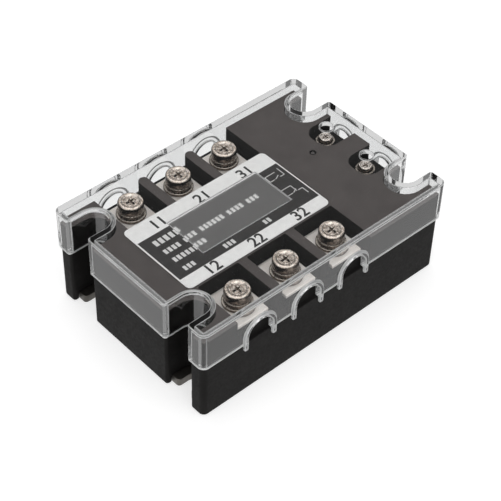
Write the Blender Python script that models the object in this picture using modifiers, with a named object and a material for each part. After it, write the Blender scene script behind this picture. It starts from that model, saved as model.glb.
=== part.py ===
"""Three-phase solid state relay: a black housing on a metal base plate, under a clear lift-off cover.

Metres, +Z up. The origin is in the middle of the base plate's underside. +X points to the control
terminals, +Y to the line terminals and -Y to the load terminals.
"""

import math

import bmesh
import bpy
from mathutils import Matrix, Vector

# Gaps: beside a piece that fits into another, and under a piece that rests on another
FIT = 0.0003
SEAT = 0.0002

# Clear cover
COVER_LENGTH = 0.1050
COVER_WIDTH = 0.0730
COVER_WALL = 0.0018
COVER_ROOF = 0.0018
COVER_CORNER = 0.0025
COVER_OVERHANG = 0.0008
COVER_HEADROOM = 0.0027
NOTCH_WALL = 0.0012
NOTCH_MOUTH = 0.0010
ACCESS_HOLE = 0.0046
FROST_LENGTH = 0.0374
FROST_WIDTH = 0.0176
FROST_DEPTH = 0.0004
FROST_SHIFT = -0.0003

# Cable arches in the cover
ARCH_WIDTH = 0.0100
ARCH_RISE = 0.0036
CONTROL_ARCH_WIDTH = 0.0074
CONTROL_ARCH_RISE = 0.0024
LIP_WIDTH = 0.0016
LIP_PROUD = 0.00075
LIP_DROP = 0.0020

# Mounting slots
SLOT_INSET_X = 0.0070
SLOT_INSET_Y = 0.0125
SLOT_WIDTH = 0.0054
SLOT_MOUTH = 0.0012
NOTCH_WIDTH = 0.0104
NOTCH_STEP = 0.0005

# Base plate and housing
BASE_THICKNESS = 0.0030
BASE_CORNER = 0.0010
SKIRT_WALL = 0.0020
SHOULDER_HEIGHT = 0.0219
HOUSING_HEIGHT = 0.0331
HOUSING_WALL = 0.0020
HOUSING_CORNER = 0.0020

# Power terminal bays
TERMINAL_PITCH = 0.0200
TERMINAL_INSET = 0.0106
BAY_WIDTH = 0.0164
BAY_LENGTH = 0.0196
BAY_DEPTH = 0.0065
BAY_END_WALL = 0.0011
BAY_CORNER = 0.0006
FLOOR_THICKNESS = 0.0054
PARTITION_SETBACK = 0.0010

# Control terminal bays
CONTROL_INSET = 0.0103
CONTROL_BAY_WIDTH = 0.0116
CONTROL_BAY_LENGTH = 0.0153
CONTROL_BAY_DEPTH = 0.0059
CONTROL_BAY_ROUND = 0.0046
CONTROL_SIDE_WALL = 0.0019
CONTROL_PARTITION_ROUND = 0.0004
CONTROL_PARTITION_SETBACK = 0.0002

# Power terminals
STRIP_THICKNESS = 0.0012
STRIP_SIDE_GAP = 0.0019
STRIP_END_GAP = 0.0022
STRIP_BEND = 0.0018
STRIP_SETBACK = 0.0006
SCREW_DIAMETER = 0.0050
SCREW_LENGTH = 0.0080
SCREW_HEAD = 0.0086
SCREW_HEAD_HEIGHT = 0.0033
SCREW_DISH = 0.0003
SCREW_EDGE = 0.0008
RECESS_SPAN = 0.0048
RECESS_WIDTH = 0.0011
RECESS_DEPTH = 0.0019
SPRING_WASHER_WIDTH = 0.0016
SPRING_WASHER_THICKNESS = 0.0012
SPRING_WASHER_SPLIT = 0.0006
FLAT_WASHER_DIAMETER = 0.0100
FLAT_WASHER_THICKNESS = 0.0010
NUT_SIZE = 0.0080
NUT_HEIGHT = 0.0027
NUT_CORNER = 0.0006

# Control terminals
CONTROL_STRIP_WIDTH = 0.0046
CONTROL_STRIP_THICKNESS = 0.0010
CONTROL_STRIP_REACH = 0.0024
CONTROL_SCREW_DIAMETER = 0.0030
CONTROL_SCREW_LENGTH = 0.0062
CONTROL_HEAD = 0.0048
CONTROL_HEAD_HEIGHT = 0.0027
CONTROL_DISH = 0.0002
CONTROL_EDGE = 0.0006
CONTROL_RECESS_SPAN = 0.0030
CONTROL_RECESS_WIDTH = 0.0008
CONTROL_RECESS_DEPTH = 0.0014
CLAMP_THICKNESS = 0.0008
CLAMP_WALL = 0.0006
CLAMP_RIM = 0.0014
CONTROL_NUT_SIZE = 0.0055
CONTROL_NUT_HEIGHT = 0.0024

# Label and status light
LABEL_LENGTH = 0.0598
LABEL_SHIFT = -0.0012
LABEL_MARGIN = 0.0005
LABEL_THICKNESS = 0.0003
LABEL_CORNER = 0.0018
LIGHT_PIPE_DIAMETER = 0.0014
LIGHT_PIPE_GAP = 0.0005
LIGHT_PIPE_Y = 0.0057
LIGHT_PIPE_SETBACK = 0.0048
LIGHT_PIPE_SUNK = 0.0002
LED_LENGTH = 0.0032
LED_WIDTH = 0.0016
LED_HEIGHT = 0.0012

# Power circuit and control board
SUBSTRATE_WIDTH = 0.0136
SUBSTRATE_LENGTH = 0.0420
SUBSTRATE_THICKNESS = 0.0008
CHIP_SIZE = 0.0080
CHIP_THICKNESS = 0.0006
CHIP_SPACING = 0.0130
BOARD_THICKNESS = 0.0016
BOARD_HEADROOM = 0.0022
BOARD_END_GAP = 0.0015
OPTO_LENGTH = 0.0065
OPTO_WIDTH = 0.0088
OPTO_HEIGHT = 0.0035

# Roundness
ARC_STEP = math.radians(15)
TURN_STEPS = 20
PAST = 0.0010

# Faces of the mouldings
COVER_X = COVER_LENGTH / 2
COVER_Y = COVER_WIDTH / 2
LOWER_X = COVER_X - COVER_OVERHANG
LOWER_Y = COVER_Y - COVER_OVERHANG
UPPER_X = COVER_X - COVER_WALL - FIT
UPPER_Y = COVER_Y - COVER_WALL - FIT
BASE_X = LOWER_X - SKIRT_WALL - FIT
BASE_Y = LOWER_Y - SKIRT_WALL - FIT
NOTCH_X = COVER_X - SLOT_INSET_X
NOTCH_Y = COVER_Y - SLOT_INSET_Y
COVER_NOTCH = NOTCH_WIDTH / 2
UPPER_NOTCH = COVER_NOTCH + NOTCH_WALL + FIT
COVER_RIM = SHOULDER_HEIGHT + FIT
COVER_CEILING = HOUSING_HEIGHT + COVER_HEADROOM
COVER_TOP = COVER_CEILING + COVER_ROOF

# Places of the terminals, and of what lines up with them
BAY_INNER = COVER_Y - BAY_LENGTH
BAY_FLOOR = HOUSING_HEIGHT - BAY_DEPTH
TERMINAL_ROW = COVER_Y - TERMINAL_INSET
TERMINAL_FIRST = UPPER_NOTCH - NOTCH_X + BAY_END_WALL + BAY_WIDTH / 2
TERMINAL_XS = [TERMINAL_FIRST + step * TERMINAL_PITCH for step in range(3)]
ARCH_TOP = BAY_FLOOR + ARCH_RISE
CONTROL_ROW = COVER_X - CONTROL_INSET
CONTROL_BAY_INNER = COVER_X - CONTROL_BAY_LENGTH
CONTROL_FLOOR = HOUSING_HEIGHT - CONTROL_BAY_DEPTH
CONTROL_Y = NOTCH_Y - UPPER_NOTCH - CONTROL_SIDE_WALL - CONTROL_BAY_WIDTH / 2
CONTROL_YS = [-CONTROL_Y, CONTROL_Y]
CONTROL_ARCH_TOP = CONTROL_FLOOR + CONTROL_ARCH_RISE
LIGHT_PIPE_X = CONTROL_BAY_INNER - LIGHT_PIPE_SETBACK
LABEL_CENTRE = TERMINAL_XS[1] + LABEL_SHIFT
FROST_CENTRE = TERMINAL_XS[1] + FROST_SHIFT

# Space inside the housing
CAVITY_CORE_X = NOTCH_X - UPPER_NOTCH - HOUSING_WALL
CAVITY_CORE_Y = UPPER_Y - HOUSING_WALL
CAVITY_END_X = UPPER_X - HOUSING_WALL
CAVITY_END_Y = NOTCH_Y - UPPER_NOTCH - HOUSING_WALL
CAVITY_ROOF = BAY_FLOOR - FLOOR_THICKNESS

# Levels of the stacked pieces
SUBSTRATE_LOW = BASE_THICKNESS + SEAT
SUBSTRATE_HIGH = SUBSTRATE_LOW + SUBSTRATE_THICKNESS
CHIP_LOW = SUBSTRATE_HIGH + SEAT
RESIN_LOW = CHIP_LOW + CHIP_THICKNESS + SEAT
BOARD_HIGH = CAVITY_ROOF - BOARD_HEADROOM
BOARD_LOW = BOARD_HIGH - BOARD_THICKNESS
RESIN_HIGH = BOARD_LOW - SEAT
ON_BOARD = BOARD_HIGH + SEAT
STRIP_LOW = BAY_FLOOR + SEAT
STRIP_HIGH = STRIP_LOW + STRIP_THICKNESS
FLAT_WASHER_LOW = STRIP_HIGH + SEAT
SPRING_WASHER_LOW = FLAT_WASHER_LOW + FLAT_WASHER_THICKNESS + SEAT
SCREW_SEAT = SPRING_WASHER_LOW + SPRING_WASHER_THICKNESS + SEAT
CONTROL_STRIP_LOW = CONTROL_FLOOR + SEAT
CONTROL_STRIP_HIGH = CONTROL_STRIP_LOW + CONTROL_STRIP_THICKNESS
CLAMP_LOW = CONTROL_STRIP_HIGH + SEAT
CONTROL_SCREW_SEAT = CLAMP_LOW + CLAMP_THICKNESS + SEAT

UPRIGHT = Matrix.Rotation(math.pi / 2, 4, "X")
SIDEWAYS = Matrix.Rotation(math.pi / 2, 4, "Z") @ UPRIGHT


def clear_scene():
    for old in list(bpy.data.objects):
        bpy.data.objects.remove(old)


def new_collection(name):
    collection = bpy.data.collections.new(name)
    bpy.context.scene.collection.children.link(collection)
    return collection


def new_material(name, colour, roughness, metallic=0.0, transmission=0.0):
    material = bpy.data.materials.new(name)
    material.use_nodes = True
    shader = material.node_tree.nodes["Principled BSDF"]
    shader.inputs["Base Color"].default_value = (*colour, 1)
    shader.inputs["Roughness"].default_value = roughness
    shader.inputs["Metallic"].default_value = metallic
    shader.inputs["Transmission Weight"].default_value = transmission
    return material


def rounded(corners):
    """The outline through (x, y, radius) corners, with an arc in place of each corner."""
    outline = []
    for index, (x, y, radius) in enumerate(corners):
        corner = Vector((x, y))
        back = (Vector(corners[index - 1][:2]) - corner).normalized()
        ahead = (Vector(corners[(index + 1) % len(corners)][:2]) - corner).normalized()
        if radius <= 0:
            outline.append(corner)
            continue
        between = back.angle(ahead)
        centre = corner + (back + ahead).normalized() * radius / math.sin(between / 2)
        start = corner + back * radius / math.tan(between / 2) - centre
        sweep = math.copysign(math.pi - between, back.cross(ahead))
        steps = max(2, round(abs(sweep) / ARC_STEP))
        for step in range(steps + 1):
            outline.append(centre + Matrix.Rotation(-sweep * step / steps, 2) @ start)
    apart = 0.000001
    return [point for index, point in enumerate(outline) if (point - outline[index - 1]).length > apart]


def rectangle(low_x, high_x, low_y, high_y, radius=0.0):
    sides = [(low_x, low_y), (high_x, low_y), (high_x, high_y), (low_x, high_y)]
    return rounded([(x, y, radius) for x, y in sides])


def circle(x, y, diameter):
    turns = [math.tau * step / TURN_STEPS for step in range(TURN_STEPS)]
    return [Vector((x + diameter / 2 * math.cos(a), y + diameter / 2 * math.sin(a))) for a in turns]


def all_quarters(quarter):
    """Corners of one quarter, from the +X axis round to the +Y axis, mirrored into all four."""
    left = [(-x, y, radius) for x, y, radius in reversed(quarter)]
    half = quarter + left
    return half + [(x, -y, radius) for x, y, radius in reversed(half)]


def notched(half_x, half_y, notch, corner, mouth):
    """A rectangle with a round-bottomed notch at each mounting slot, open to its short ends."""
    bottom = NOTCH_X - notch
    return rounded(all_quarters([
        (half_x, NOTCH_Y - notch, mouth),
        (bottom, NOTCH_Y - notch, notch),
        (bottom, NOTCH_Y + notch, notch),
        (half_x, NOTCH_Y + notch, mouth),
        (half_x, half_y, corner),
    ]))


def plus(core_x, core_y, end_x, end_y):
    """A cross that fills the housing between its four notch corners."""
    return rounded(all_quarters([(end_x, end_y, 0), (core_x, end_y, 0), (core_x, core_y, 0)]))


def arch(centre, width, bottom, top):
    low, high = centre - width / 2, centre + width / 2
    return rounded([(low, bottom, 0), (high, bottom, 0), (high, top, width / 2), (low, top, width / 2)])


def comb(centres, width, inner, bay_round, end, outside, end_round):
    """Bays side by side, open at the outside, with rounded ends on the partitions between them."""
    corners = []
    for centre in centres:
        low, high = centre - width / 2, centre + width / 2
        corners += [(low, end, end_round), (low, inner, bay_round)]
        corners += [(high, inner, bay_round), (high, end, end_round)]
    corners[0] = (centres[0] - width / 2, outside, 0)
    corners[-1] = (centres[-1] + width / 2, outside, 0)
    return rounded(corners)


def finished(holder):
    """The mesh of an object with its modifiers applied. The object goes."""
    bpy.context.scene.collection.objects.link(holder)
    graph = bpy.context.evaluated_depsgraph_get()
    mesh = bpy.data.meshes.new_from_object(holder.evaluated_get(graph))
    bpy.data.objects.remove(holder)
    return mesh


def slab(outlines, low, high, matrix=None):
    """A mesh of the first outline, less the others, standing from low to high before it is turned."""
    curve = bpy.data.curves.new("outline", "CURVE")
    curve.dimensions = "2D"
    curve.fill_mode = "BOTH"
    curve.extrude = (high - low) / 2
    for outline in outlines:
        spline = curve.splines.new("POLY")
        spline.points.add(len(outline) - 1)
        for point, (x, y) in zip(spline.points, outline):
            point.co = (x, y, 0, 1)
        spline.use_cyclic_u = True
    mesh = joined([finished(bpy.data.objects.new("outline", curve))])
    bpy.data.curves.remove(curve)
    if len(outlines) == 1:
        merge_caps(mesh)
    mesh.transform(Matrix.Translation((0, 0, (low + high) / 2)))
    if matrix:
        mesh.transform(matrix)
    return mesh


def merge_caps(mesh):
    """Makes one face of each end of an extruded outline, with no slivers between points in line."""
    shape = bmesh.new()
    shape.from_mesh(mesh)
    for end in (min(v.co.z for v in shape.verts), max(v.co.z for v in shape.verts)):
        cap = [face for face in shape.faces if all(abs(v.co.z - end) < 0.000001 for v in face.verts)]
        bmesh.ops.dissolve_faces(shape, faces=cap)
    bmesh.ops.recalc_face_normals(shape, faces=shape.faces)
    shape.to_mesh(mesh)
    shape.free()


def turned(profile, closed=False):
    """A mesh of (radius, height) points turned about Z. They run down the outer side."""
    mesh = bpy.data.meshes.new("profile")
    last = len(profile) - 1
    edges = [(index, index + 1) for index in range(last)]
    if closed:
        edges.append((last, 0))
    mesh.from_pydata([(radius, 0, height) for radius, height in profile], edges, [])
    holder = bpy.data.objects.new("profile", mesh)
    screw = holder.modifiers.new("Turn", "SCREW")
    screw.axis = "Z"
    screw.angle = math.tau
    screw.steps = TURN_STEPS
    screw.render_steps = TURN_STEPS
    screw.use_merge_vertices = True
    screw.merge_threshold = 0.00001
    return joined([finished(holder)])


def joined(meshes):
    """One welded mesh of several, facing outwards."""
    shape = bmesh.new()
    for mesh in meshes:
        shape.from_mesh(mesh)
        bpy.data.meshes.remove(mesh)
    bmesh.ops.remove_doubles(shape, verts=shape.verts, dist=0.000001)
    bmesh.ops.recalc_face_normals(shape, faces=shape.faces)
    whole = bpy.data.meshes.new("shape")
    shape.to_mesh(whole)
    shape.free()
    return whole


def add_part(name, mesh, material, location=(0, 0, 0), turn=0.0):
    if not mesh.materials:
        mesh.materials.append(material)
        mesh.shade_smooth()
        mesh.set_sharp_from_angle(angle=math.radians(35))
    part = bpy.data.objects.new(name, mesh)
    part.location = location
    part.rotation_euler.z = turn
    relay.objects.link(part)
    return part


def add_helper(name, meshes):
    helper = bpy.data.objects.new(name, joined(meshes))
    helper.hide_render = True
    helper.display_type = "WIRE"
    cutters.objects.link(helper)
    return helper


def boolean(part, helper, operation):
    modifier = part.modifiers.new(helper.name, "BOOLEAN")
    modifier.operation = operation
    modifier.solver = "EXACT"
    modifier.object = helper


def cut(part, helper):
    boolean(part, helper, "DIFFERENCE")


def join(part, helper):
    boolean(part, helper, "UNION")


def cut_mesh(mesh, tool):
    """A mesh less another mesh."""
    helper = add_helper("tool", [tool])
    holder = bpy.data.objects.new("blank", mesh)
    cut(holder, helper)
    result = finished(holder)
    bpy.data.objects.remove(helper)
    return joined([result])


def screw_mesh(diameter, length, head, height, dish, edge, span, width, depth):
    """A cheese-head screw with a dished top and a cross recess. Its origin is under its head."""
    shank, rim = diameter / 2, head / 2
    mesh = turned([
        (0, height - dish),
        (0.58 * rim, height - dish),
        (0.70 * rim, height),
        (rim - edge, height),
        (rim - 0.3 * edge, height - 0.3 * edge),
        (rim, height - edge),
        (rim, 0),
        (shank, 0),
        (shank, 0.2 * diameter - length),
        (0.75 * shank, -length),
        (0, -length),
    ])
    wing, half = span / 2, width / 2
    cross = rounded(all_quarters([(wing, half, 0), (half, half, 0), (half, wing, 0)]))
    return cut_mesh(mesh, slab([cross], height - depth, height + PAST))


def washer_mesh(inner, outer, thickness):
    return turned([(outer, thickness), (outer, 0), (inner, 0), (inner, thickness)], closed=True)


def spring_washer_mesh():
    """A split ring. The split slants across its thickness."""
    inner = SCREW_DIAMETER / 2 + FIT
    mesh = washer_mesh(inner, inner + SPRING_WASHER_WIDTH, SPRING_WASHER_THICKNESS)
    reach = inner + SPRING_WASHER_WIDTH + PAST
    slant = SPRING_WASHER_THICKNESS
    half = SPRING_WASHER_SPLIT / 2
    low, high = -PAST, SPRING_WASHER_THICKNESS + PAST
    split = rounded([
        (-half - slant, low, 0), (half - slant, low, 0), (half + slant, high, 0), (-half + slant, high, 0),
    ])
    return cut_mesh(mesh, slab([split], -reach, 0, UPRIGHT))


def nut_mesh(size, height, thread):
    half = size / 2
    square = rectangle(-half, half, -half, half, NUT_CORNER)
    return slab([square, circle(0, 0, thread + 2 * FIT)], 0, height)


def strip_mesh(inner, outer, low, foot, thickness, width, hole_at, hole, matrix):
    """A bent terminal strip: a flat pad with a screw hole, and a leg down from its inner end."""
    high = low + thickness
    bend = rounded([
        (inner, foot, 0),
        (inner + thickness, foot, 0),
        (inner + thickness, low, STRIP_BEND - thickness),
        (outer, low, 0),
        (outer, high, thickness / 3),
        (inner, high, STRIP_BEND),
    ])
    strip = slab([bend], -width / 2, width / 2, matrix)
    bore = slab([circle(0, 0, hole)], low - PAST, high + PAST)
    bore.transform(Matrix.Translation(hole_at))
    return cut_mesh(strip, bore)


def clamp_mesh():
    """A cup-shaped wire clamp. Its rim stands round the screw's head."""
    hole, inside = CONTROL_SCREW_DIAMETER / 2 + FIT, CONTROL_HEAD / 2 + FIT
    outside, rise = inside + CLAMP_WALL, CLAMP_THICKNESS + CLAMP_RIM
    corner = CLAMP_WALL / 2
    return turned([
        (inside, rise),
        (outside, rise),
        (outside, corner),
        (outside - corner, 0),
        (hole, 0),
        (hole, CLAMP_THICKNESS),
        (inside, CLAMP_THICKNESS),
    ], closed=True)


def side_arches(width, bottom, top, near, far):
    """Arch shapes across both long walls, one for each power terminal."""
    shapes = []
    for x in TERMINAL_XS:
        shapes.append(slab([arch(x, width, bottom, top)], near, far, UPRIGHT))
        shapes.append(slab([arch(x, width, bottom, top)], -far, -near, UPRIGHT))
    return shapes


def end_arches(width, bottom, top, near, far):
    """Arch shapes across the control end's wall."""
    return [slab([arch(y, width, bottom, top)], near, far, SIDEWAYS) for y in CONTROL_YS]


def build_cover():
    outside = notched(COVER_X, COVER_Y, COVER_NOTCH, COVER_CORNER, NOTCH_MOUTH)
    cover = add_part("clear_cover", slab([outside], COVER_RIM, COVER_TOP), clear_plastic)

    inner_corner = max(COVER_CORNER - COVER_WALL, 0)
    inside = notched(COVER_X - COVER_WALL, COVER_Y - COVER_WALL, COVER_NOTCH + NOTCH_WALL, inner_corner, 0)
    cut(cover, add_helper("cover_inside", [slab([inside], COVER_RIM - PAST, COVER_CEILING)]))

    foot = COVER_RIM - LIP_DROP
    back_x, back_y = LOWER_X + FIT, LOWER_Y + FIT
    lips = side_arches(ARCH_WIDTH + 2 * LIP_WIDTH, foot, ARCH_TOP + LIP_WIDTH, back_y, COVER_Y + LIP_PROUD)
    lips += end_arches(
        CONTROL_ARCH_WIDTH + 2 * LIP_WIDTH, foot, CONTROL_ARCH_TOP + LIP_WIDTH, back_x, COVER_X + LIP_PROUD
    )
    join(cover, add_helper("arch_lips", lips))

    below = foot - PAST
    wall = COVER_WALL + PAST
    openings = side_arches(ARCH_WIDTH, below, ARCH_TOP, COVER_Y - wall, COVER_Y + wall)
    openings += end_arches(CONTROL_ARCH_WIDTH, below, CONTROL_ARCH_TOP, COVER_X - wall, COVER_X + wall)
    cut(cover, add_helper("arch_openings", openings))

    rounds = [circle(x, y, ACCESS_HOLE) for x, y in control_places()]
    holes = [slab([round_hole], COVER_CEILING - PAST, COVER_TOP + PAST) for round_hole in rounds]
    cut(cover, add_helper("access_holes", holes))

    frost = rectangle(
        FROST_CENTRE - FROST_LENGTH / 2, FROST_CENTRE + FROST_LENGTH / 2, -FROST_WIDTH / 2, FROST_WIDTH / 2
    )
    pad = slab([frost], COVER_CEILING - FROST_DEPTH, COVER_CEILING + COVER_ROOF / 2)
    join(cover, add_helper("frosted_pad", [pad]))


def build_housing(leg_slots):
    lower = notched(LOWER_X, LOWER_Y, COVER_NOTCH + NOTCH_STEP, HOUSING_CORNER, NOTCH_MOUTH)
    housing = add_part("housing", slab([lower], FIT, SHOULDER_HEIGHT), black_plastic)
    upper = notched(UPPER_X, UPPER_Y, UPPER_NOTCH, max(COVER_CORNER - COVER_WALL - FIT, 0), 0)
    join(housing, add_helper("housing_top", [slab([upper], SHOULDER_HEIGHT - PAST, HOUSING_HEIGHT)]))

    recess = rectangle(-BASE_X - FIT, BASE_X + FIT, -BASE_Y - FIT, BASE_Y + FIT)
    cut(housing, add_helper("base_recess", [slab([recess], -PAST, BASE_THICKNESS + FIT)]))
    cavity = plus(CAVITY_CORE_X, CAVITY_CORE_Y, CAVITY_END_X, CAVITY_END_Y)
    cut(housing, add_helper("circuit_cavity", [slab([cavity], BASE_THICKNESS - PAST, CAVITY_ROOF)]))
    loft_y = BAY_INNER - HOUSING_WALL
    loft = rectangle(-CAVITY_CORE_X, CONTROL_BAY_INNER - HOUSING_WALL, -loft_y, loft_y)
    cut(housing, add_helper("loft", [slab([loft], CAVITY_ROOF - PAST, HOUSING_HEIGHT - HOUSING_WALL)]))

    end_round = (TERMINAL_PITCH - BAY_WIDTH) / 2
    partition = UPPER_Y - PARTITION_SETBACK
    bays = comb(TERMINAL_XS, BAY_WIDTH, BAY_INNER, BAY_CORNER, partition, UPPER_Y + PAST, end_round)
    far_bays = slab([bays], BAY_FLOOR, HOUSING_HEIGHT + PAST)
    near_bays = slab([bays], BAY_FLOOR, HOUSING_HEIGHT + PAST, Matrix.Scale(-1, 4, (0, 1, 0)))
    cut(housing, add_helper("power_bays", [far_bays, near_bays]))
    end_round = min(CONTROL_PARTITION_ROUND, CONTROL_Y - CONTROL_BAY_WIDTH / 2)
    partition = UPPER_X - CONTROL_PARTITION_SETBACK
    control = comb(
        CONTROL_YS, CONTROL_BAY_WIDTH, CONTROL_BAY_INNER, CONTROL_BAY_ROUND, partition, UPPER_X + PAST,
        end_round,
    )
    control_bays = slab([[Vector((y, x)) for x, y in control]], CONTROL_FLOOR, HOUSING_HEIGHT + PAST)
    cut(housing, add_helper("control_bays", [control_bays]))

    pockets, bores = [], []
    power_tip, control_tip = SCREW_SEAT - SCREW_LENGTH, CONTROL_SCREW_SEAT - CONTROL_SCREW_LENGTH
    for size, height, floor, tip, thread, places in (
        (NUT_SIZE, NUT_HEIGHT, BAY_FLOOR, power_tip, SCREW_DIAMETER, power_places()),
        (
            CONTROL_NUT_SIZE, CONTROL_NUT_HEIGHT, CONTROL_FLOOR, control_tip, CONTROL_SCREW_DIAMETER,
            control_places(),
        ),
    ):
        half, bore = size / 2 + FIT, thread + 4 * FIT
        pocket_floor = floor - height - SEAT
        for x, y in places:
            pocket = rectangle(x - half, x + half, y - half, y + half)
            pockets.append(slab([pocket], pocket_floor, floor + PAST))
            bores.append(slab([circle(x, y, bore)], tip - 2 * FIT, pocket_floor + height / 2))
    cut(housing, add_helper("nut_pockets", pockets))
    cut(housing, add_helper("screw_bores", bores))
    cut(housing, leg_slots)

    pipe = circle(LIGHT_PIPE_X, LIGHT_PIPE_Y, LIGHT_PIPE_DIAMETER + 2 * LIGHT_PIPE_GAP)
    pipe_hole = slab([pipe], HOUSING_HEIGHT - HOUSING_WALL - PAST, HOUSING_HEIGHT + PAST)
    cut(housing, add_helper("light_pipe_hole", [pipe_hole]))


def power_places():
    return [(x, side * TERMINAL_ROW) for side in (1, -1) for x in TERMINAL_XS]


def control_places():
    return [(CONTROL_ROW, y) for y in CONTROL_YS]


def build_leg_slots():
    """The shafts that the terminal legs pass through, in the housing and the resin."""
    half = BAY_WIDTH / 2 - STRIP_SIDE_GAP + FIT
    inner = BAY_INNER + STRIP_SETBACK - FIT
    outer = BAY_INNER + STRIP_SETBACK + STRIP_THICKNESS + FIT
    shafts = []
    for x in TERMINAL_XS:
        for low, high in ((inner, outer), (-outer, -inner)):
            shaft = rectangle(x - half, x + half, low, high)
            shafts.append(slab([shaft], SUBSTRATE_HIGH, BAY_FLOOR + PAST))
    inner = CONTROL_BAY_INNER + STRIP_SETBACK - FIT
    outer = CONTROL_BAY_INNER + STRIP_SETBACK + CONTROL_STRIP_THICKNESS + FIT
    half = CONTROL_STRIP_WIDTH / 2 + FIT
    for y in CONTROL_YS:
        shafts.append(slab([rectangle(inner, outer, y - half, y + half)], BOARD_HIGH, CONTROL_FLOOR + PAST))
    return add_helper("leg_slots", shafts)


def build_power_terminals():
    screw = screw_mesh(
        SCREW_DIAMETER, SCREW_LENGTH, SCREW_HEAD, SCREW_HEAD_HEIGHT, SCREW_DISH, SCREW_EDGE, RECESS_SPAN,
        RECESS_WIDTH, RECESS_DEPTH,
    )
    spring_washer = spring_washer_mesh()
    flat_washer = washer_mesh(SCREW_DIAMETER / 2 + FIT, FLAT_WASHER_DIAMETER / 2, FLAT_WASHER_THICKNESS)
    nut = nut_mesh(NUT_SIZE, NUT_HEIGHT, SCREW_DIAMETER)
    strip = strip_mesh(
        BAY_INNER + STRIP_SETBACK, UPPER_Y - STRIP_END_GAP, STRIP_LOW, SUBSTRATE_HIGH + SEAT,
        STRIP_THICKNESS, BAY_WIDTH - 2 * STRIP_SIDE_GAP, (0, TERMINAL_ROW, 0), SCREW_DIAMETER + 2 * FIT,
        SIDEWAYS,
    )
    for row, side in (("line", 1), ("load", -1)):
        turn = 0.0 if side > 0 else math.pi
        for number, x in enumerate(TERMINAL_XS, 1):
            y = side * TERMINAL_ROW
            spring_place = (x, y, SPRING_WASHER_LOW)
            add_part(f"{row}_screw_{number}", screw, screw_steel, (x, y, SCREW_SEAT))
            add_part(f"{row}_spring_washer_{number}", spring_washer, washer_steel, spring_place, turn)
            add_part(f"{row}_flat_washer_{number}", flat_washer, washer_steel, (x, y, FLAT_WASHER_LOW))
            add_part(f"{row}_terminal_{number}", strip, nickel, (x, 0, 0), turn)
            add_part(f"{row}_nut_{number}", nut, nut_steel, (x, y, BAY_FLOOR - NUT_HEIGHT))


def build_control_terminals():
    screw = screw_mesh(
        CONTROL_SCREW_DIAMETER, CONTROL_SCREW_LENGTH, CONTROL_HEAD, CONTROL_HEAD_HEIGHT, CONTROL_DISH,
        CONTROL_EDGE, CONTROL_RECESS_SPAN, CONTROL_RECESS_WIDTH, CONTROL_RECESS_DEPTH,
    )
    clamp = clamp_mesh()
    nut = nut_mesh(CONTROL_NUT_SIZE, CONTROL_NUT_HEIGHT, CONTROL_SCREW_DIAMETER)
    strip = strip_mesh(
        CONTROL_BAY_INNER + STRIP_SETBACK, CONTROL_ROW + CONTROL_STRIP_REACH, CONTROL_STRIP_LOW, ON_BOARD,
        CONTROL_STRIP_THICKNESS, CONTROL_STRIP_WIDTH, (CONTROL_ROW, 0, 0), CONTROL_SCREW_DIAMETER + 2 * FIT,
        UPRIGHT,
    )
    nut_low = CONTROL_FLOOR - CONTROL_NUT_HEIGHT
    for number, y in enumerate(CONTROL_YS, 1):
        add_part(f"control_screw_{number}", screw, screw_steel, (CONTROL_ROW, y, CONTROL_SCREW_SEAT))
        add_part(f"control_clamp_{number}", clamp, washer_steel, (CONTROL_ROW, y, CLAMP_LOW))
        add_part(f"control_terminal_{number}", strip, nickel, (0, y, 0))
        add_part(f"control_nut_{number}", nut, nut_steel, (CONTROL_ROW, y, nut_low))


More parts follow.
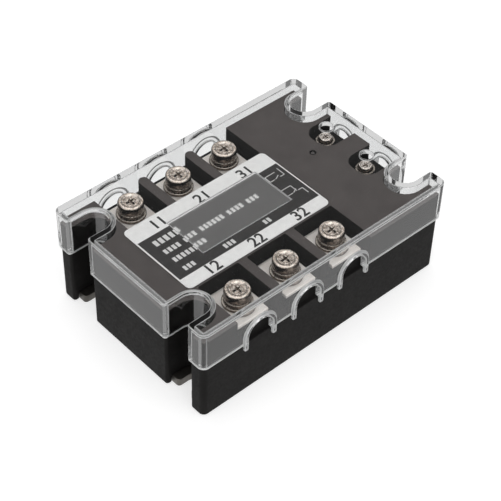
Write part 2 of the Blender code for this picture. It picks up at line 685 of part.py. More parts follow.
def build_circuit(leg_slots):
    plate = notched(BASE_X, BASE_Y, SLOT_WIDTH / 2, BASE_CORNER, SLOT_MOUTH)
    add_part("base_plate", slab([plate], 0, BASE_THICKNESS), base_metal)

    half_x, half_y, half_chip = SUBSTRATE_WIDTH / 2, SUBSTRATE_LENGTH / 2, CHIP_SIZE / 2
    substrate = slab([rectangle(-half_x, half_x, -half_y, half_y)], 0, SUBSTRATE_THICKNESS)
    chip = slab([rectangle(-half_chip, half_chip, -half_chip, half_chip)], 0, CHIP_THICKNESS)
    for number, x in enumerate(TERMINAL_XS, 1):
        add_part(f"ceramic_substrate_{number}", substrate, ceramic, (x, 0, SUBSTRATE_LOW))
        add_part(f"thyristor_chip_{2 * number - 1}", chip, silicon, (x, CHIP_SPACING / 2, CHIP_LOW))
        add_part(f"thyristor_chip_{2 * number}", chip, silicon, (x, -CHIP_SPACING / 2, CHIP_LOW))

    fill = plus(CAVITY_CORE_X - FIT, CAVITY_CORE_Y - FIT, CAVITY_END_X - FIT, CAVITY_END_Y - FIT)
    resin_fill = add_part("resin_fill", slab([fill], RESIN_LOW, RESIN_HIGH), resin)
    cut(resin_fill, leg_slots)

    board_x, board_y = CAVITY_END_X - BOARD_END_GAP, min(CAVITY_END_Y, BAY_INNER + STRIP_SETBACK) - FIT
    board = rectangle(-board_x, board_x, -board_y, board_y)
    add_part("control_board", slab([board], BOARD_LOW, BOARD_HIGH), laminate)
    half_x, half_y = OPTO_LENGTH / 2, OPTO_WIDTH / 2
    opto = slab([rectangle(-half_x, half_x, -half_y, half_y)], 0, OPTO_HEIGHT)
    for number, x in enumerate(TERMINAL_XS, 1):
        add_part(f"optocoupler_{number}", opto, chip_case, (x, 0, ON_BOARD))

    half_x, half_y = LED_LENGTH / 2, LED_WIDTH / 2
    led = slab([rectangle(-half_x, half_x, -half_y, half_y)], 0, LED_HEIGHT)
    add_part("status_led", led, led_lens, (LIGHT_PIPE_X, LIGHT_PIPE_Y, ON_BOARD))
    pipe_low = ON_BOARD + LED_HEIGHT + SEAT
    length = HOUSING_HEIGHT - LIGHT_PIPE_SUNK - pipe_low
    radius = LIGHT_PIPE_DIAMETER / 2
    edge = radius / 4
    pipe = turned([(0, length), (radius - edge, length), (radius, length - edge), (radius, 0), (0, 0)])
    add_part("light_pipe", pipe, light_plastic, (LIGHT_PIPE_X, LIGHT_PIPE_Y, pipe_low))


def build_label():
    half_x, half_y = LABEL_LENGTH / 2, BAY_INNER - LABEL_MARGIN
    outline = rectangle(LABEL_CENTRE - half_x, LABEL_CENTRE + half_x, -half_y, half_y, LABEL_CORNER)
    low = HOUSING_HEIGHT + SEAT
    add_part("label", slab([outline], low, low + LABEL_THICKNESS), label_film)


clear_scene()
relay = new_collection("solid_state_relay")
cutters = new_collection("cutters")
clear_plastic = new_material("clear plastic", (0.92, 0.94, 0.94), 0.06, transmission=1.0)
black_plastic = new_material("black plastic", (0.03, 0.03, 0.032), 0.45)
base_metal = new_material("base metal", (0.72, 0.71, 0.68), 0.35, metallic=1.0)
nickel = new_material("nickel", (0.75, 0.71, 0.63), 0.28, metallic=1.0)
screw_steel = new_material("screw steel", (0.78, 0.74, 0.66), 0.25, metallic=1.0)
washer_steel = new_material("washer steel", (0.70, 0.68, 0.63), 0.32, metallic=1.0)
nut_steel = new_material("nut steel", (0.66, 0.64, 0.60), 0.40, metallic=1.0)
ceramic = new_material("ceramic", (0.88, 0.87, 0.84), 0.55)
silicon = new_material("silicon", (0.20, 0.21, 0.24), 0.25, metallic=0.6)
resin = new_material("resin", (0.08, 0.08, 0.09), 0.35)
laminate = new_material("laminate", (0.05, 0.22, 0.10), 0.45)
chip_case = new_material("chip case", (0.05, 0.05, 0.05), 0.55)
led_lens = new_material("led lens", (0.75, 0.10, 0.06), 0.25)
light_plastic = new_material("light plastic", (0.10, 0.09, 0.09), 0.15)
label_film = new_material("label film", (0.72, 0.72, 0.72), 0.35)

leg_slots = build_leg_slots()
build_housing(leg_slots)
build_cover()
build_circuit(leg_slots)
build_power_terminals()
build_control_terminals()
build_label()
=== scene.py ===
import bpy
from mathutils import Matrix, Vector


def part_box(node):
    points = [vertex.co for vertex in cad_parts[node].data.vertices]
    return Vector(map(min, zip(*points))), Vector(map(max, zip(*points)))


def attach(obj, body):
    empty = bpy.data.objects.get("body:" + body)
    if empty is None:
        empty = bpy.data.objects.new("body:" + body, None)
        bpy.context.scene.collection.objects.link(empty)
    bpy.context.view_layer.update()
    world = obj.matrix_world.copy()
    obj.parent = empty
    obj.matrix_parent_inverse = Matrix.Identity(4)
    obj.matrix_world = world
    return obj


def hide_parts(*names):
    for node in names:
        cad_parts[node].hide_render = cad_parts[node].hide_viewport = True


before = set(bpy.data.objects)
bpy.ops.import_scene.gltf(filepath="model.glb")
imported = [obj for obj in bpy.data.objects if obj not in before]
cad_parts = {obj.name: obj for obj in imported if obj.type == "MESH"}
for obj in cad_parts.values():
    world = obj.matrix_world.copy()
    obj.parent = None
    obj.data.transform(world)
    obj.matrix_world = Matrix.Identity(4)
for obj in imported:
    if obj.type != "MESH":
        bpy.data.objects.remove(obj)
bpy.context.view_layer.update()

import math

import bmesh
import bpy
from mathutils import Matrix, Vector


def node_box(name):
    """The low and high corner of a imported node, in metres."""
    return [[round(value, 6) for value in corner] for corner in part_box(name)]


def node_middle(name):
    """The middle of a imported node, seen from above."""
    low, high = node_box(name)
    return [round((low[axis] + high[axis]) / 2, 6) for axis in (0, 1)]


# All lengths are in metres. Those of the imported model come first.
LIP_WIDTH, LIP_PROUD, LIP_DROP, LIP_SINK = 0.0016, 0.00075, 0.0020, 0.0005
COVER_LOW, COVER_HIGH = node_box("clear_cover")
COVER_WALL, NOTCH_WALL = 0.0018, 0.0012
COVER_X = -COVER_LOW[0]
COVER_Y = COVER_HIGH[1] - LIP_PROUD
COVER_RIM = COVER_LOW[2] + LIP_DROP
COVER_TOP = COVER_HIGH[2]
COVER_CEILING = COVER_TOP - COVER_WALL
COVER_CORNER, NOTCH_MOUTH = 0.0025, 0.0010
NOTCH_X, NOTCH_Y, NOTCH = 0.0455, 0.0240, 0.0052
ARCH_WIDTH, ARCH_TOP = 0.0100, 0.0302
CONTROL_ARCH_WIDTH, CONTROL_ARCH_TOP = 0.0074, 0.0296
ACCESS_HOLE = 0.0046
FROST_X, FROST_Y = (-0.0285, 0.0089), 0.0088
FROST_DEPTH, FROST_ROOT = 0.0004, 0.0006
FROST_LEVEL = COVER_CEILING - FROST_DEPTH
HOUSING_TOP = node_box("housing")[1][2]
TERMINAL_XS = [node_middle(f"line_screw_{number}")[0] for number in (1, 2, 3)]
TERMINAL_ROW = node_middle("line_screw_1")[1]
CONTROL_YS = [node_middle(f"control_screw_{number}")[1] for number in (1, 2)]
CONTROL_ROW = node_middle("control_screw_1")[0]
LABEL_LOW, LABEL_HIGH = node_box("label")
LABEL_TOP = LABEL_HIGH[2]

# Screws and washers. Span, width and depth are those of the cross recess.
POWER_SCREW = dict(
    diameter=0.0050, length=0.0080, head=0.0086, height=0.0033, dish=0.0003,
    edge=0.0008, span=0.0048, width=0.0011, depth=0.0019, pitch=0.0008,
)
CONTROL_SCREW = dict(
    diameter=0.0030, length=0.0062, head=0.0048, height=0.0027, dish=0.0002,
    edge=0.0006, span=0.0030, width=0.0008, depth=0.0014, pitch=0.0005,
)
SPRING_WASHER = dict(inner=0.0028, outer=0.0044, thickness=0.0012, split=0.0006)
FLAT_WASHER = dict(inner=0.0028, outer=0.0050, thickness=0.0010)

# Print on the label: a dark field, figures, rows of (x, y, height, blocks in each word) and a line sketch
FIELD_Y, FIELD_MARGIN, BAND_SOFT = (-0.0115, 0.0092), 0.00045, 0.00006
FIGURE_SIZE, FIGURE_BOLD, INK = 0.0060, 0.00011, 0.00001
FIGURE_YS, FIGURE_XS = (0.0124, -0.0140), (-0.0290, -0.0105, 0.0080)
BLOCK_ROWS = (
    (-0.0356, 0.0056, 0.0026, (5,)),
    (-0.0356, 0.0008, 0.0021, (4, 3, 6, 4, 3)),
    (-0.0356, -0.0037, 0.0021, (8,)),
    (-0.0356, -0.0086, 0.0020, (3,)),
    (-0.0198, -0.0094, 0.0020, (3,)),
    (-0.0030, -0.0094, 0.0020, (2,)),
)
BLOCK_WIDTH, BLOCK_STEP, WORD_GAP = 0.54, 0.80, 0.70
SKETCH_LINE = 0.00028
SKETCH = (
    ((0.0154, 0.0062), (0.0110, 0.0062), (0.0110, 0.0034), (0.0130, 0.0034)),
    ((0.0134, 0.0034), (0.0154, 0.0044)),
    ((0.0154, 0.0034), (0.0172, 0.0034), (0.0172, 0.0072)),
    ((0.0104, -0.0020), (0.0148, -0.0020), (0.0148, -0.0052)),
    ((0.0110, -0.0052), (0.0130, -0.0052)),
    ((0.0134, -0.0052), (0.0152, -0.0042)),
    ((0.0154, -0.0052), (0.0172, -0.0052), (0.0172, -0.0082)),
)

# Rounding of edges: widths, and the share of the cover's width that each kind of its edges gets
COVER_EDGE, HOUSING_EDGE, BASE_EDGE, LIGHT_PIPE_EDGE = 0.00045, 0.0003, 0.0002, 0.0001
STRIP_EDGE, CLAMP_EDGE, CONTROL_STRIP_EDGE, LABEL_EDGE = 0.00015, 0.00015, 0.00012, 0.00006
TOP_SHARE, SMALL_SHARE, OTHER_SHARE = 0.7, 0.5, 0.9
COVER_SEGMENTS, NODE_SEGMENTS = 3, 2
SHARP, SMOOTH = math.radians(30), math.radians(35)

# Modelling: how far cutters reach past what they cut, and what counts as level, welded, flat or facing down
PAST = 0.0010
ARC_STEP = math.radians(6)
SAME_LEVEL, SAME_POINT, WELD = 0.0001, 0.000001, 0.000002
FLAT = math.radians(0.5)
DOWNWARD = -0.9
UPRIGHT = Matrix.Rotation(math.pi / 2, 4, "X")
SIDEWAYS = Matrix.Rotation(math.pi / 2, 4, "Z") @ UPRIGHT

# Light in the clear walls: bounces are counted between whole numbers, and light is dimmed as it gets out
ONE_TURN, TWO_TURNS = 0.5, 1.5
EDGE_DIM, FAR_DIM = 0.72, 0.20
TOP_SKIN = 0.0003
CLEAR_SHARE, CLOUDY_SHARE = 0.94, 0.90

# How far the painted reflection, the lighter grey of the housing's top face, goes below and above it
PAINTED_GREY_BELOW, PAINTED_GREY_ABOVE = 0.0002, 0.0009

# Studio: a dim sky with panels of (direction, full within and gone past these degrees, strength)
STUDIO_DIM = 0.22
ROOF_MIRROR, BEFORE = (0.488, 0.520, 0.700), (-0.52, -0.62, 0.59)
STUDIO_PANELS = (
    (ROOF_MIRROR, 9, 15, -1.17),
    (ROOF_MIRROR, 26, 46, 1.05),
    (BEFORE, 45, 80, 1.15),
)
FLOOR_MIRRORED, FLOOR_THROUGH = 0.95, 0.90
PAPER, PAPER_SEEN, PAPER_GLOW = 0.82, 0.56, 0.54
FLOOR_REACH, FLOOR_UNDERSIDE, FLOOR_TOP = 3.0, -0.02, -0.00005
FAINT = 0.01

# Camera of the photo: lens and sensor in millimetres, axes and place in the frame
LENS, SENSOR, NEAREST = 107.445, 36.0, 0.01
CAMERA_RIGHT = (0.74327, -0.668657, 0.02118)
CAMERA_UP = (0.45727, 0.530895, 0.71348)
CAMERA_BACK = (-0.488318, -0.520623, 0.700355)
CAMERA_PLACE = (-0.24313, -0.25896, 0.36134)


def rounded(corners):
    """The outline through (x, y, radius) corners, with an arc in place of each corner."""
    outline = []
    for index, (x, y, radius) in enumerate(corners):
        corner = Vector((x, y))
        back = (Vector(corners[index - 1][:2]) - corner).normalized()
        ahead = (Vector(corners[(index + 1) % len(corners)][:2]) - corner).normalized()
        if radius <= 0:
            outline.append(corner)
            continue
        between = back.angle(ahead)
        centre = corner + (back + ahead).normalized() * radius / math.sin(between / 2)
        start = corner + back * radius / math.tan(between / 2) - centre
        sweep = math.copysign(math.pi - between, back.cross(ahead))
        steps = max(4, round(abs(sweep) / ARC_STEP))
        for step in range(steps + 1):
            outline.append(centre + Matrix.Rotation(-sweep * step / steps, 2) @ start)
    return [point for i, point in enumerate(outline) if (point - outline[i - 1]).length > SAME_POINT]


def rectangle(low_x, high_x, low_y, high_y):
    corners = ((low_x, low_y), (high_x, low_y), (high_x, high_y), (low_x, high_y))
    return [Vector(corner) for corner in corners]


def circle(x, y, diameter, steps=48):
    turns = [math.tau * step / steps for step in range(steps)]
    return [Vector((x + diameter / 2 * math.cos(a), y + diameter / 2 * math.sin(a))) for a in turns]


def all_quarters(quarter):
    """A quarter of an outline, repeated on the other sides of both axes."""
    left = [(-x, y, radius) for x, y, radius in reversed(quarter)]
    half = quarter + left
    return half + [(x, -y, radius) for x, y, radius in reversed(half)]


def notched(half_x, half_y, notch, corner, mouth):
    """A rectangle with a round-bottomed notch at each mounting slot."""
    bottom = NOTCH_X - notch
    return rounded(all_quarters([
        (half_x, NOTCH_Y - notch, mouth),
        (bottom, NOTCH_Y - notch, notch),
        (bottom, NOTCH_Y + notch, notch),
        (half_x, NOTCH_Y + notch, mouth),
        (half_x, half_y, corner),
    ]))


def arch(centre, width, bottom, top):
    """An outline with a straight foot and a round top."""
    low, high = centre - width / 2, centre + width / 2
    return rounded([(low, bottom, 0), (high, bottom, 0), (high, top, width / 2), (low, top, width / 2)])


def slab(outline, low, high, matrix=None, taper=1.0):
    """A mesh of an outline standing from low to high. Taper scales its lower end."""
    shape = bmesh.new()
    bottom = [shape.verts.new((x * taper, y * taper, low)) for x, y in outline]
    top = [shape.verts.new((x, y, high)) for x, y in outline]
    shape.faces.new(top)
    shape.faces.new(reversed(bottom))
    for index in range(len(top)):
        shape.faces.new((top[index - 1], bottom[index - 1], bottom[index], top[index]))
    bmesh.ops.recalc_face_normals(shape, faces=shape.faces)
    return to_mesh(shape, matrix)


def to_mesh(shape, matrix=None):
    mesh = bpy.data.meshes.new("shape")
    shape.to_mesh(mesh)
    shape.free()
    if matrix:
        mesh.transform(matrix)
    return mesh


def merged(meshes):
    """Several meshes as one."""
    shape = bmesh.new()
    for mesh in meshes:
        shape.from_mesh(mesh)
        bpy.data.meshes.remove(mesh)
    return to_mesh(shape)


def combined(mesh, steps):
    """A mesh with others cut from it or joined to it, in order."""
    holder = bpy.data.objects.new("blank", mesh)
    bpy.context.scene.collection.objects.link(holder)
    tools = []
    for operation, other in steps:
        tool = bpy.data.objects.new("tool", other)
        bpy.context.scene.collection.objects.link(tool)
        modifier = holder.modifiers.new("step", "BOOLEAN")
        modifier.operation = operation
        modifier.solver = "EXACT"
        modifier.object = tool
        tools.append(tool)
    graph = bpy.context.evaluated_depsgraph_get()
    result = bpy.data.meshes.new_from_object(holder.evaluated_get(graph))
    for item in [holder] + tools:
        bpy.data.objects.remove(item)
    return tidied(result)


def tidied(mesh):
    """The mesh welded, with flat areas made whole, so that its edges can be rounded."""
    shape = bmesh.new()
    shape.from_mesh(mesh)
    bmesh.ops.remove_doubles(shape, verts=shape.verts, dist=WELD)
    bmesh.ops.dissolve_limit(
        shape, angle_limit=FLAT, verts=shape.verts, edges=shape.edges, use_dissolve_boundaries=False
    )
    bmesh.ops.recalc_face_normals(shape, faces=shape.faces)
    return to_mesh(shape)


def turned(profile, steps=64):
    """A mesh of (radius, height) points turned about Z."""
    shape = bmesh.new()
    rings = []
    turns = [math.tau * step / steps for step in range(steps)]
    for radius, height in profile:
        if radius == 0:
            rings.append([shape.verts.new((0, 0, height))])
            continue
        ring = [(radius * math.cos(a), radius * math.sin(a), height) for a in turns]
        rings.append([shape.verts.new(point) for point in ring])
    for upper, lower in zip(rings, rings[1:]):
        for index in range(steps):
            face = [upper[(index - 1) % len(upper)], upper[index % len(upper)]]
            face += [lower[index % len(lower)], lower[(index - 1) % len(lower)]]
            shape.faces.new(list(dict.fromkeys(face)))
    bmesh.ops.recalc_face_normals(shape, faces=shape.faces)
    return to_mesh(shape)


def bend(centre, radius, start, end, steps):
    """Points of an arc in a profile, from one angle to another in degrees."""
    angles = [math.radians(start + (end - start) * step / steps) for step in range(steps + 1)]
    return [(centre[0] + radius * math.cos(a), centre[1] + radius * math.sin(a)) for a in angles]


def place(name, mesh, finish, body, node, location=(0, 0, 0), turn=0.0):
    """A finished piece that rides on a body and stands for one node."""
    mesh.name = name
    if not mesh.materials:
        mesh.materials.append(finish)
    piece = bpy.data.objects.new(name, mesh)
    piece.location = location
    piece.rotation_euler.z = turn
    bpy.context.scene.collection.objects.link(piece)
    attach(piece, body)
    if node:
        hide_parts(node)
    return piece


def soften(piece, width, segments, weights=False):
    """Rounds a piece's sharp edges and shades it smooth."""
    piece.data.shade_smooth()
    modifier = piece.modifiers.new("edges", "BEVEL")
    modifier.width = width
    modifier.segments = segments
    modifier.limit_method = "WEIGHT" if weights else "ANGLE"
    modifier.angle_limit = SHARP
    modifier.use_clamp_overlap = False
    modifier.harden_normals = True
    flatten = piece.modifiers.new("flat faces", "WEIGHTED_NORMAL")
    flatten.weight = 100
    return piece


def refined(node, finish, body, width):
    """A copy of a node's mesh with its edges rounded."""
    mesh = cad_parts[node].data.copy()
    mesh.materials.clear()
    for name in [layer.name for layer in mesh.uv_layers]:
        mesh.uv_layers.remove(mesh.uv_layers[name])
    copy = tidied(mesh)
    bpy.data.meshes.remove(mesh)
    return soften(place(node + ".moulded", copy, finish, body, node), width, NODE_SEGMENTS)


class Graph:
    """A shader's node tree."""

    def __init__(self, tree):
        self.tree = tree

    def node(self, kind, **settings):
        node = self.tree.nodes.new("ShaderNode" + kind)
        for name, value in settings.items():
            setattr(node, name, value)
        return node

    def link(self, source, target):
        self.tree.links.new(source, target)

    def math(self, operation, *values):
        node = self.node("Math", operation=operation)
        for socket, value in zip(node.inputs, values):
            if isinstance(value, (int, float)):
                socket.default_value = value
            else:
                self.link(value, socket)
        return node.outputs["Value"]

    def ranged(self, source, low, high, start=0.3, stop=0.7, **settings):
        """A value that goes from low to high as its source goes from start to stop."""
        node = self.node("MapRange", **settings)
        for name, value in (("From Min", start), ("From Max", stop), ("To Min", low), ("To Max", high)):
            node.inputs[name].default_value = value
        self.link(source, node.inputs["Value"])
        return node.outputs["Result"]


class Finish(Graph):
    """A material whose patterns are sized in metres."""

    def __init__(self, name):
        self.material = bpy.data.materials.new(name)
        self.material.use_nodes = True
        super().__init__(self.material.node_tree)
        self.shader = self.tree.nodes["Principled BSDF"]
        self.place = self.node("TexCoord").outputs["Object"]

    def set(self, **values):
        for name, value in values.items():
            socket = self.shader.inputs[name.replace("_", " ")]
            socket.default_value = (*value, 1) if isinstance(value, tuple) else value
        return self

    def axes(self, vector):
        split = self.node("SeparateXYZ")
        self.link(vector, split.inputs["Vector"])
        return split.outputs

    def noise(self, size, detail=4.0, stretch=(1, 1, 1)):
        mapping = self.node("Mapping")
        mapping.inputs["Scale"].default_value = [axis / size for axis in stretch]
        self.link(self.place, mapping.inputs["Vector"])
        noise = self.node("TexNoise")
        noise.inputs["Scale"].default_value = 1.0
        noise.inputs["Detail"].default_value = detail
        self.link(mapping.outputs["Vector"], noise.inputs["Vector"])
        return noise.outputs["Fac"]

    def patches(self, size, detail=3.0):
        """A pattern of soft patches, from nought to one."""
        return self.ranged(self.noise(size, detail), 0, 1)

    def mix(self, factor, first, second):
        node = self.node("Mix", data_type="RGBA")
        self.link(factor, node.inputs["Factor"])
        for socket, value in ((node.inputs["A"], first), (node.inputs["B"], second)):
            if isinstance(value, tuple):
                socket.default_value = (*value, 1)
            else:
                self.link(value, socket)
        return node.outputs["Result"]

    def colour(self, source):
        self.link(source, self.shader.inputs["Base Color"])
        return self

    def tint(self, first, second, size, detail=3.0):
        return self.colour(self.mix(self.patches(size, detail), first, second))

    def painted_by_facing(self, top, side, size):
        """Metal with painted light: painted highlight where it faces up and painted shade down its sides.
        """
        facing = self.axes(self.node("NewGeometry").outputs["Normal"])
        painted_lit_share = self.ranged(facing["Z"], 0, 1, start=0.25, stop=0.85)
        patches = self.patches(size)
        return self.colour(self.mix(painted_lit_share, self.mix(patches, *side), self.mix(patches, *top)))

    def rough(self, low, high, size, stretch=(1, 1, 1)):
        pattern = self.noise(size, stretch=stretch)
        self.link(self.ranged(pattern, low, high), self.shader.inputs["Roughness"])
        return self

    def bump(self, size, depth, stretch=(1, 1, 1), detail=5.0, strength=1.0):
        node = self.node("Bump")
        node.inputs["Strength"].default_value = strength
        node.inputs["Distance"].default_value = depth
        self.link(self.noise(size, detail, stretch), node.inputs["Height"])
        self.link(node.outputs["Normal"], self.shader.inputs["Normal"])
        return self

    def band(self, axis, low, high):
        """One between two values of an axis, and nought outside."""
        value = self.axes(self.place)[axis]
        rise = self.ranged(value, 0, 1, low - BAND_SOFT, low + BAND_SOFT)
        fall = self.ranged(value, 1, 0, high - BAND_SOFT, high + BAND_SOFT)
        return self.math("MULTIPLY", rise, fall)

    def leaving(self):
        """Where light turned back inside a clear wall gets out, and whether it was turned only once.

        It gets out of a wall's outer face after one turn, and of any face but the top after two.
        """
        depth = self.node("LightPath").outputs["Glossy Depth"]
        spot = self.axes(self.place)
        past_x = self.math("GREATER_THAN", self.math("ABSOLUTE", spot["X"]), COVER_X - COVER_WALL / 2)
        past_y = self.math("GREATER_THAN", self.math("ABSOLUTE", spot["Y"]), COVER_Y - COVER_WALL / 2)
        outer = self.math("MAXIMUM", past_x, past_y)
        once = self.math("MULTIPLY", outer, self.math("GREATER_THAN", depth, ONE_TURN))
        often = self.math("MAXIMUM", once, self.math("GREATER_THAN", depth, TWO_TURNS))
        below_top = self.math("LESS_THAN", spot["Z"], COVER_TOP - TOP_SKIN)
        return self.math("MULTIPLY", often, below_top), self.math("LESS_THAN", depth, TWO_TURNS)

    def pass_light(self, share, leaky=False):
        """Lets a share of the sky's light straight through, to what lies under clear plastic."""
        path = self.node("LightPath").outputs
        through = self.math("MAXIMUM", path["Is Shadow Ray"], path["Is Diffuse Ray"])
        clear = self.node("BsdfTransparent")
        clear.inputs["Color"].default_value = (share, share, share, 1)
        if leaky:
            leak, early = self.leaving()
            dim = self.math("ADD", self.math("MULTIPLY", early, EDGE_DIM - FAR_DIM), FAR_DIM)
            lost = self.math("MULTIPLY", leak, dim)
            self.link(self.math("SUBTRACT", share, lost), clear.inputs["Color"])
            through = self.math("MAXIMUM", through, leak)
        mix = self.node("MixShader")
        self.link(through, mix.inputs["Fac"])
        self.link(self.shader.outputs["BSDF"], mix.inputs[1])
        self.link(clear.outputs["BSDF"], mix.inputs[2])
        self.link(mix.outputs["Shader"], self.tree.nodes["Material Output"].inputs["Surface"])
        return self


def clear_plastic():
    """The cover's polished walls and roof."""
    clear = Finish("clear_plastic").set(Transmission_Weight=1.0, IOR=1.58, Base_Color=(0.985, 0.99, 0.99))
    clear.rough(0.008, 0.03, size=0.004)
    clear.bump(size=0.012, depth=0.00002, detail=2.0, strength=0.3)
    return clear.pass_light(CLEAR_SHARE, leaky=True)


def clear_plastic_edge():
    """The cover's rounded edges, which scatter light."""
    edge = Finish("clear_plastic_edge").set(Transmission_Weight=0.55, IOR=1.58)
    edge.tint((0.54, 0.55, 0.55), (0.66, 0.66, 0.66), size=0.0040, detail=2.0)
    return edge.rough(0.34, 0.46, size=0.0030).pass_light(CLOUDY_SHARE)


def clear_plastic_rim():
    """The pale underside of the cover's rim and lips."""
    rim = Finish("clear_plastic_rim").set(Transmission_Weight=0.25, IOR=1.58)
    rim.tint((0.84, 0.85, 0.85), (0.93, 0.93, 0.93), size=0.0025)
    rim.rough(0.30, 0.46, size=0.0020)
    return rim.bump(size=0.0012, depth=0.00001, strength=0.3).pass_light(CLOUDY_SHARE)


def frosted_plastic():
    """The ground pad under the roof."""
    frosted = Finish("frosted_plastic")
    frosted.set(Transmission_Weight=0.92, IOR=1.25, Base_Color=(0.95, 0.945, 0.94))
    return frosted.rough(0.40, 0.50, size=0.0012).pass_light(CLOUDY_SHARE)


def black_plastic():
    """The housing's fine grain, black down its sides, with a painted reflection: its top face is coloured a
    lighter grey.
    """
    black = Finish("black_plastic").set(Specular_IOR_Level=0.05)
    patches = black.patches(0.006)
    sides = black.mix(patches, (0.0080, 0.0076, 0.0074), (0.0120, 0.0113, 0.0110))
    # painted reflection: the top face's lighter grey stands in for the cover's roof reflecting over it
    upper = black.mix(patches, (0.080, 0.071, 0.069), (0.096, 0.086, 0.083))
    top = black.band("Z", HOUSING_TOP - PAINTED_GREY_BELOW, HOUSING_TOP + PAINTED_GREY_ABOVE)
    black.colour(black.mix(top, sides, upper)).rough(0.42, 0.58, size=0.0009)
    return black.bump(size=0.00035, depth=0.00002, strength=0.5)


def nickel():
    """The satin plating of the terminal strips."""
    plating = Finish("nickel").set(Metallic=0.2)
    plating.tint((0.90, 0.83, 0.77), (0.99, 0.95, 0.91), size=0.003).rough(0.34, 0.56, size=0.0014)
    return plating.bump(size=0.0005, depth=0.00002, stretch=(1, 4, 1), strength=0.6)


def screw_steel():
    """The power screws' plating, with painted highlight on top and painted shade down the sides."""
    steel = Finish("screw_steel").set(Metallic=1.0)
    top = ((0.60, 0.49, 0.41), (0.99, 0.91, 0.83))
    side = ((0.08, 0.062, 0.052), (0.30, 0.245, 0.205))
    steel.painted_by_facing(top, side, size=0.0009).rough(0.12, 0.26, size=0.0007)
    return steel.bump(size=0.0010, depth=0.00030, strength=0.7, detail=3.0)


def small_screw_steel():
    """The control screws' plating, brighter and finer, with painted highlight on top and painted shade down
    the sides.
    """
    steel = Finish("small_screw_steel").set(Metallic=1.0)
    top = ((0.60, 0.52, 0.46), (0.98, 0.93, 0.88))
    side = ((0.16, 0.13, 0.11), (0.46, 0.39, 0.34))
    steel.painted_by_facing(top, side, size=0.0006).rough(0.12, 0.26, size=0.0005)
    return steel.bump(size=0.0006, depth=0.00020, strength=0.7, detail=3.0)


def washer_steel():
    steel = Finish("washer_steel").set(Metallic=1.0)
    # painted highlight on top and painted shade down the sides, set by which way the surface faces
    top = ((0.44, 0.38, 0.32), (0.74, 0.67, 0.60))
    side = ((0.08, 0.06, 0.05), (0.26, 0.21, 0.175))
    steel.painted_by_facing(top, side, size=0.0012).rough(0.20, 0.38, size=0.0006)
    return steel.bump(size=0.0006, depth=0.00003, strength=0.5)


def nut_steel():
    steel = Finish("nut_steel").set(Metallic=1.0)
    steel.tint((0.56, 0.54, 0.50), (0.68, 0.66, 0.62), size=0.002).rough(0.32, 0.50, size=0.0008)
    return steel.bump(size=0.0004, depth=0.00001)


def base_metal():
    """The base plate's metal, painted darker than its own colour for the shade it lies in, with drawing
    marks.
    """
    grain = (1, 14, 1)
    metal = Finish("base_metal").set(Metallic=1.0)
    # painted shade: the colour is darkened to stand in for the shade under the notches
    metal.tint((0.080, 0.075, 0.068), (0.125, 0.117, 0.106), size=0.008)
    metal.rough(0.36, 0.52, size=0.0015, stretch=grain)
    return metal.bump(size=0.0006, depth=0.00001, stretch=grain, strength=0.5)


def light_pipe_plastic():
    smoked = Finish("light_pipe_plastic").set(IOR=1.5)
    smoked.tint((0.044, 0.040, 0.038), (0.060, 0.054, 0.052), size=0.0012)
    return smoked.rough(0.10, 0.22, size=0.0008)


def led_lens():
    lens = Finish("led_lens")
    return lens.tint((0.62, 0.06, 0.04), (0.80, 0.12, 0.07), size=0.0008).rough(0.15, 0.3, size=0.0006)


def board_laminate():
    board = Finish("board_laminate")
    board.tint((0.03, 0.16, 0.07), (0.06, 0.26, 0.12), size=0.004).rough(0.3, 0.5, size=0.001)
    return board.bump(size=0.0005, depth=0.00002, stretch=(1, 5, 1))


def potting_resin():
    resin = Finish("potting_resin")
    resin.tint((0.05, 0.05, 0.055), (0.10, 0.10, 0.11), size=0.006).rough(0.2, 0.4, size=0.003)
    return resin.bump(size=0.004, depth=0.00008, detail=2.0)


def ceramic():
    white = Finish("ceramic")
    white.tint((0.80, 0.79, 0.76), (0.92, 0.91, 0.88), size=0.003).rough(0.45, 0.65, size=0.0006)
    return white.bump(size=0.0002, depth=0.00001)


def silicon():
    chip = Finish("silicon").set(Metallic=0.6)
    return chip.tint((0.16, 0.17, 0.20), (0.25, 0.26, 0.30), size=0.002).rough(0.18, 0.32, size=0.0009)


def chip_case():
    case = Finish("chip_case")
    case.tint((0.03, 0.03, 0.032), (0.065, 0.065, 0.065), size=0.0015).rough(0.45, 0.65, size=0.0005)
    return case.bump(size=0.0002, depth=0.00002)


def dark_ink():
    ink = Finish("dark_ink")
    return ink.tint((0.010, 0.010, 0.011), (0.028, 0.027, 0.027), size=0.0004).rough(0.4, 0.6, size=0.0006)


def pale_ink():
    ink = Finish("pale_ink")
    return ink.tint((0.62, 0.62, 0.61), (0.78, 0.78, 0.77), size=0.0004).rough(0.4, 0.6, size=0.0006)


def label_film():
    """Silver film with a printed dark field across its middle."""
    label = Finish("label_film").set(Specular_IOR_Level=0.4)
    film = label.mix(label.patches(0.002, detail=4.0), (0.83, 0.825, 0.815), (0.91, 0.905, 0.895))
    field = label.mix(label.patches(0.001, detail=4.0), (0.022, 0.020, 0.020), (0.034, 0.032, 0.031))
    along = label.band("X", LABEL_LOW[0] + FIELD_MARGIN, LABEL_HIGH[0] - FIELD_MARGIN)
    across = label.band("Y", *FIELD_Y)
    label.colour(label.mix(label.math("MULTIPLY", along, across), film, field))
    return label.rough(0.30, 0.44, size=0.0008).bump(size=0.0005, depth=0.000006, strength=0.5)


def make_finishes():
    makers = (
        clear_plastic, frosted_plastic, clear_plastic_edge, clear_plastic_rim, black_plastic, nickel,
        screw_steel, small_screw_steel, washer_steel, nut_steel, base_metal, light_pipe_plastic, led_lens,
        board_laminate, potting_resin, ceramic, silicon, chip_case, dark_ink, pale_ink, label_film,
    )
    return {maker.__name__: maker().material for maker in makers}


def in_long_wall(outline, side, inner, outer):
    """An outline standing in a long wall of the cover, between two distances from the middle."""
    near, far = sorted((side * inner, side * outer))
    return slab(outline, -far, -near, UPRIGHT)


